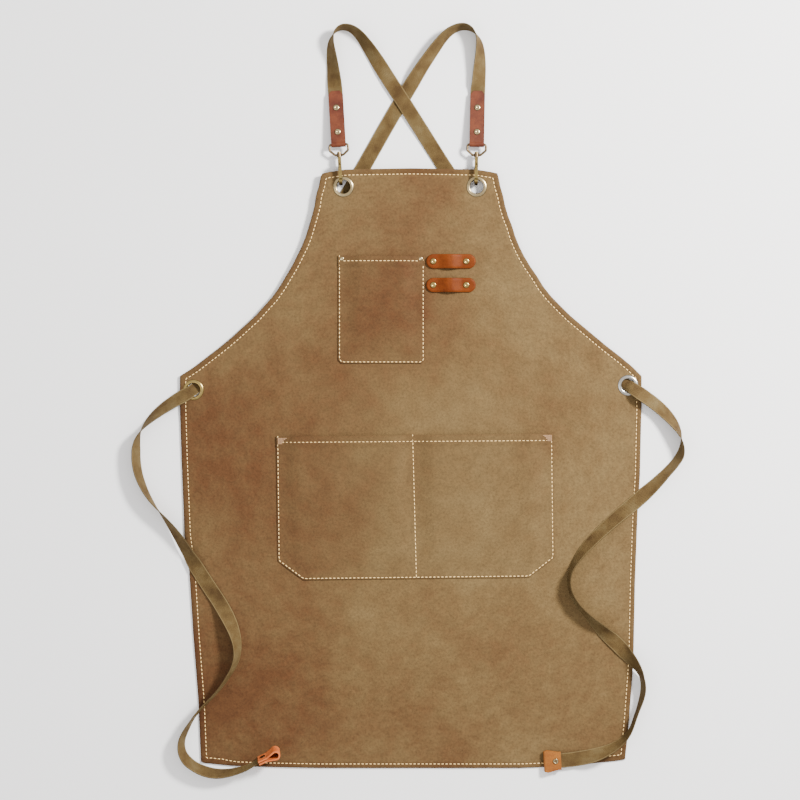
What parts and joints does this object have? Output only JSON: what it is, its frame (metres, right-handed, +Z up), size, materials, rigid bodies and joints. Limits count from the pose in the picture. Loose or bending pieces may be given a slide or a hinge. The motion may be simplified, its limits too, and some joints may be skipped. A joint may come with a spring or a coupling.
{
  "type": "cross back work apron",
  "caption": "Bib apron in mottled canvas with crossed webbing straps on swivel snap hooks, a chest pocket, a divided lower pocket, leather tool loops and leather-tipped ties",
  "frame": {"origin": "centre of the bottom of the bounding box of the apron without its webbing straps, on the floor the apron lies on", "axes": "+X is to the viewer's right looking at the front, +Y runs from the skirt hem up to the bib and strap tabs, +Z is up out of the front face"},
  "size_m": [0.7165, 0.9786, 0.0286],
  "materials": {
    "canvas": "mottled waxed canvas",
    "pocket_canvas": "mottled waxed canvas",
    "webbing": "ribbed cotton webbing",
    "tab_leather": "oiled",
    "loop_leather": "oiled",
    "tip_leather": "oiled",
    "brass": "polished",
    "nickel": "polished"
  },
  "bodies": {
    "apron": {"apron_panel": "canvas", "chest_pocket": "pocket_canvas", "lower_pocket": "pocket_canvas", "tool_loop_upper": "loop_leather", "tool_loop_lower": "loop_leather", "grommet_bib_left": "brass", "grommet_bib_right": "nickel", "grommet_waist_left": "brass", "grommet_waist_right": "nickel", "washer_bib_left": "brass", "washer_bib_right": "nickel", "washer_waist_left": "brass", "washer_waist_right": "nickel", "tool_loop_rivet_posts": "brass", "tool_loop_rivet_caps": "brass", "chest_pocket_rivet_posts": "brass", "chest_pocket_rivet_caps": "brass", "tab_left_rivet_posts": "brass", "tab_left_rivet_caps": "brass", "tab_right_rivet_posts": "brass", "tab_right_rivet_caps": "brass", "strap_tab_left": "tab_leather", "strap_tab_right": "tab_leather", "strap_left": "webbing", "strap_right": "webbing", "tie_tip_left": "tip_leather", "tie_tip_right": "tip_leather", "tie_tip_rivet_left": "nickel", "tie_tip_rivet_right": "nickel"},
    "eye_left": {"swivel_eye_left": "brass"},
    "hook_left": {"hook_body_left": "brass", "swivel_post_left": "brass", "gate_pin_left": "brass"},
    "gate_left": {"hook_gate_left": "brass"},
    "eye_right": {"swivel_eye_right": "brass"},
    "hook_right": {"hook_body_right": "brass", "swivel_post_right": "brass", "gate_pin_right": "brass"},
    "gate_right": {"hook_gate_right": "brass"}
  },
  "joints": [
    {"name": "eye_left_lift", "type": "hinge", "parent": "apron", "child": "eye_left", "pos_m": [-0.0937, 0.37, 0.00905], "axis": [-0.9981, -0.061, 0], "range_deg": [-0.5, 1.2]},
    {"name": "hook_left_swivel", "type": "hinge", "parent": "eye_left", "child": "hook_left", "pos_m": [-0.09284, 0.35603, 0.00905], "axis": [-0.061, 0.9981, 0], "range_deg": [-10, 10]},
    {"name": "gate_left_open", "type": "hinge", "parent": "hook_left", "child": "gate_left", "pos_m": [-0.09199, 0.34205, 0.01625], "axis": [0.9981, 0.061, 0], "range_deg": [0, 6], "stiffness_Nm_per_rad": 0.02, "springref_deg": -20.05},
    {"name": "eye_right_lift", "type": "hinge", "parent": "apron", "child": "eye_right", "pos_m": [0.0855, 0.37, 0.00905], "axis": [-0.9998, 0.0209, 0], "range_deg": [-0.5, 1.2]},
    {"name": "hook_right_swivel", "type": "hinge", "parent": "eye_right", "child": "hook_right", "pos_m": [0.08521, 0.356, 0.00905], "axis": [0.0209, 0.9998, 0], "range_deg": [-10, 10]},
    {"name": "gate_right_open", "type": "hinge", "parent": "hook_right", "child": "gate_right", "pos_m": [0.08491, 0.34201, 0.01625], "axis": [0.9998, -0.0209, 0], "range_deg": [0, 6], "stiffness_Nm_per_rad": 0.02, "springref_deg": -20.05}
  ]
}
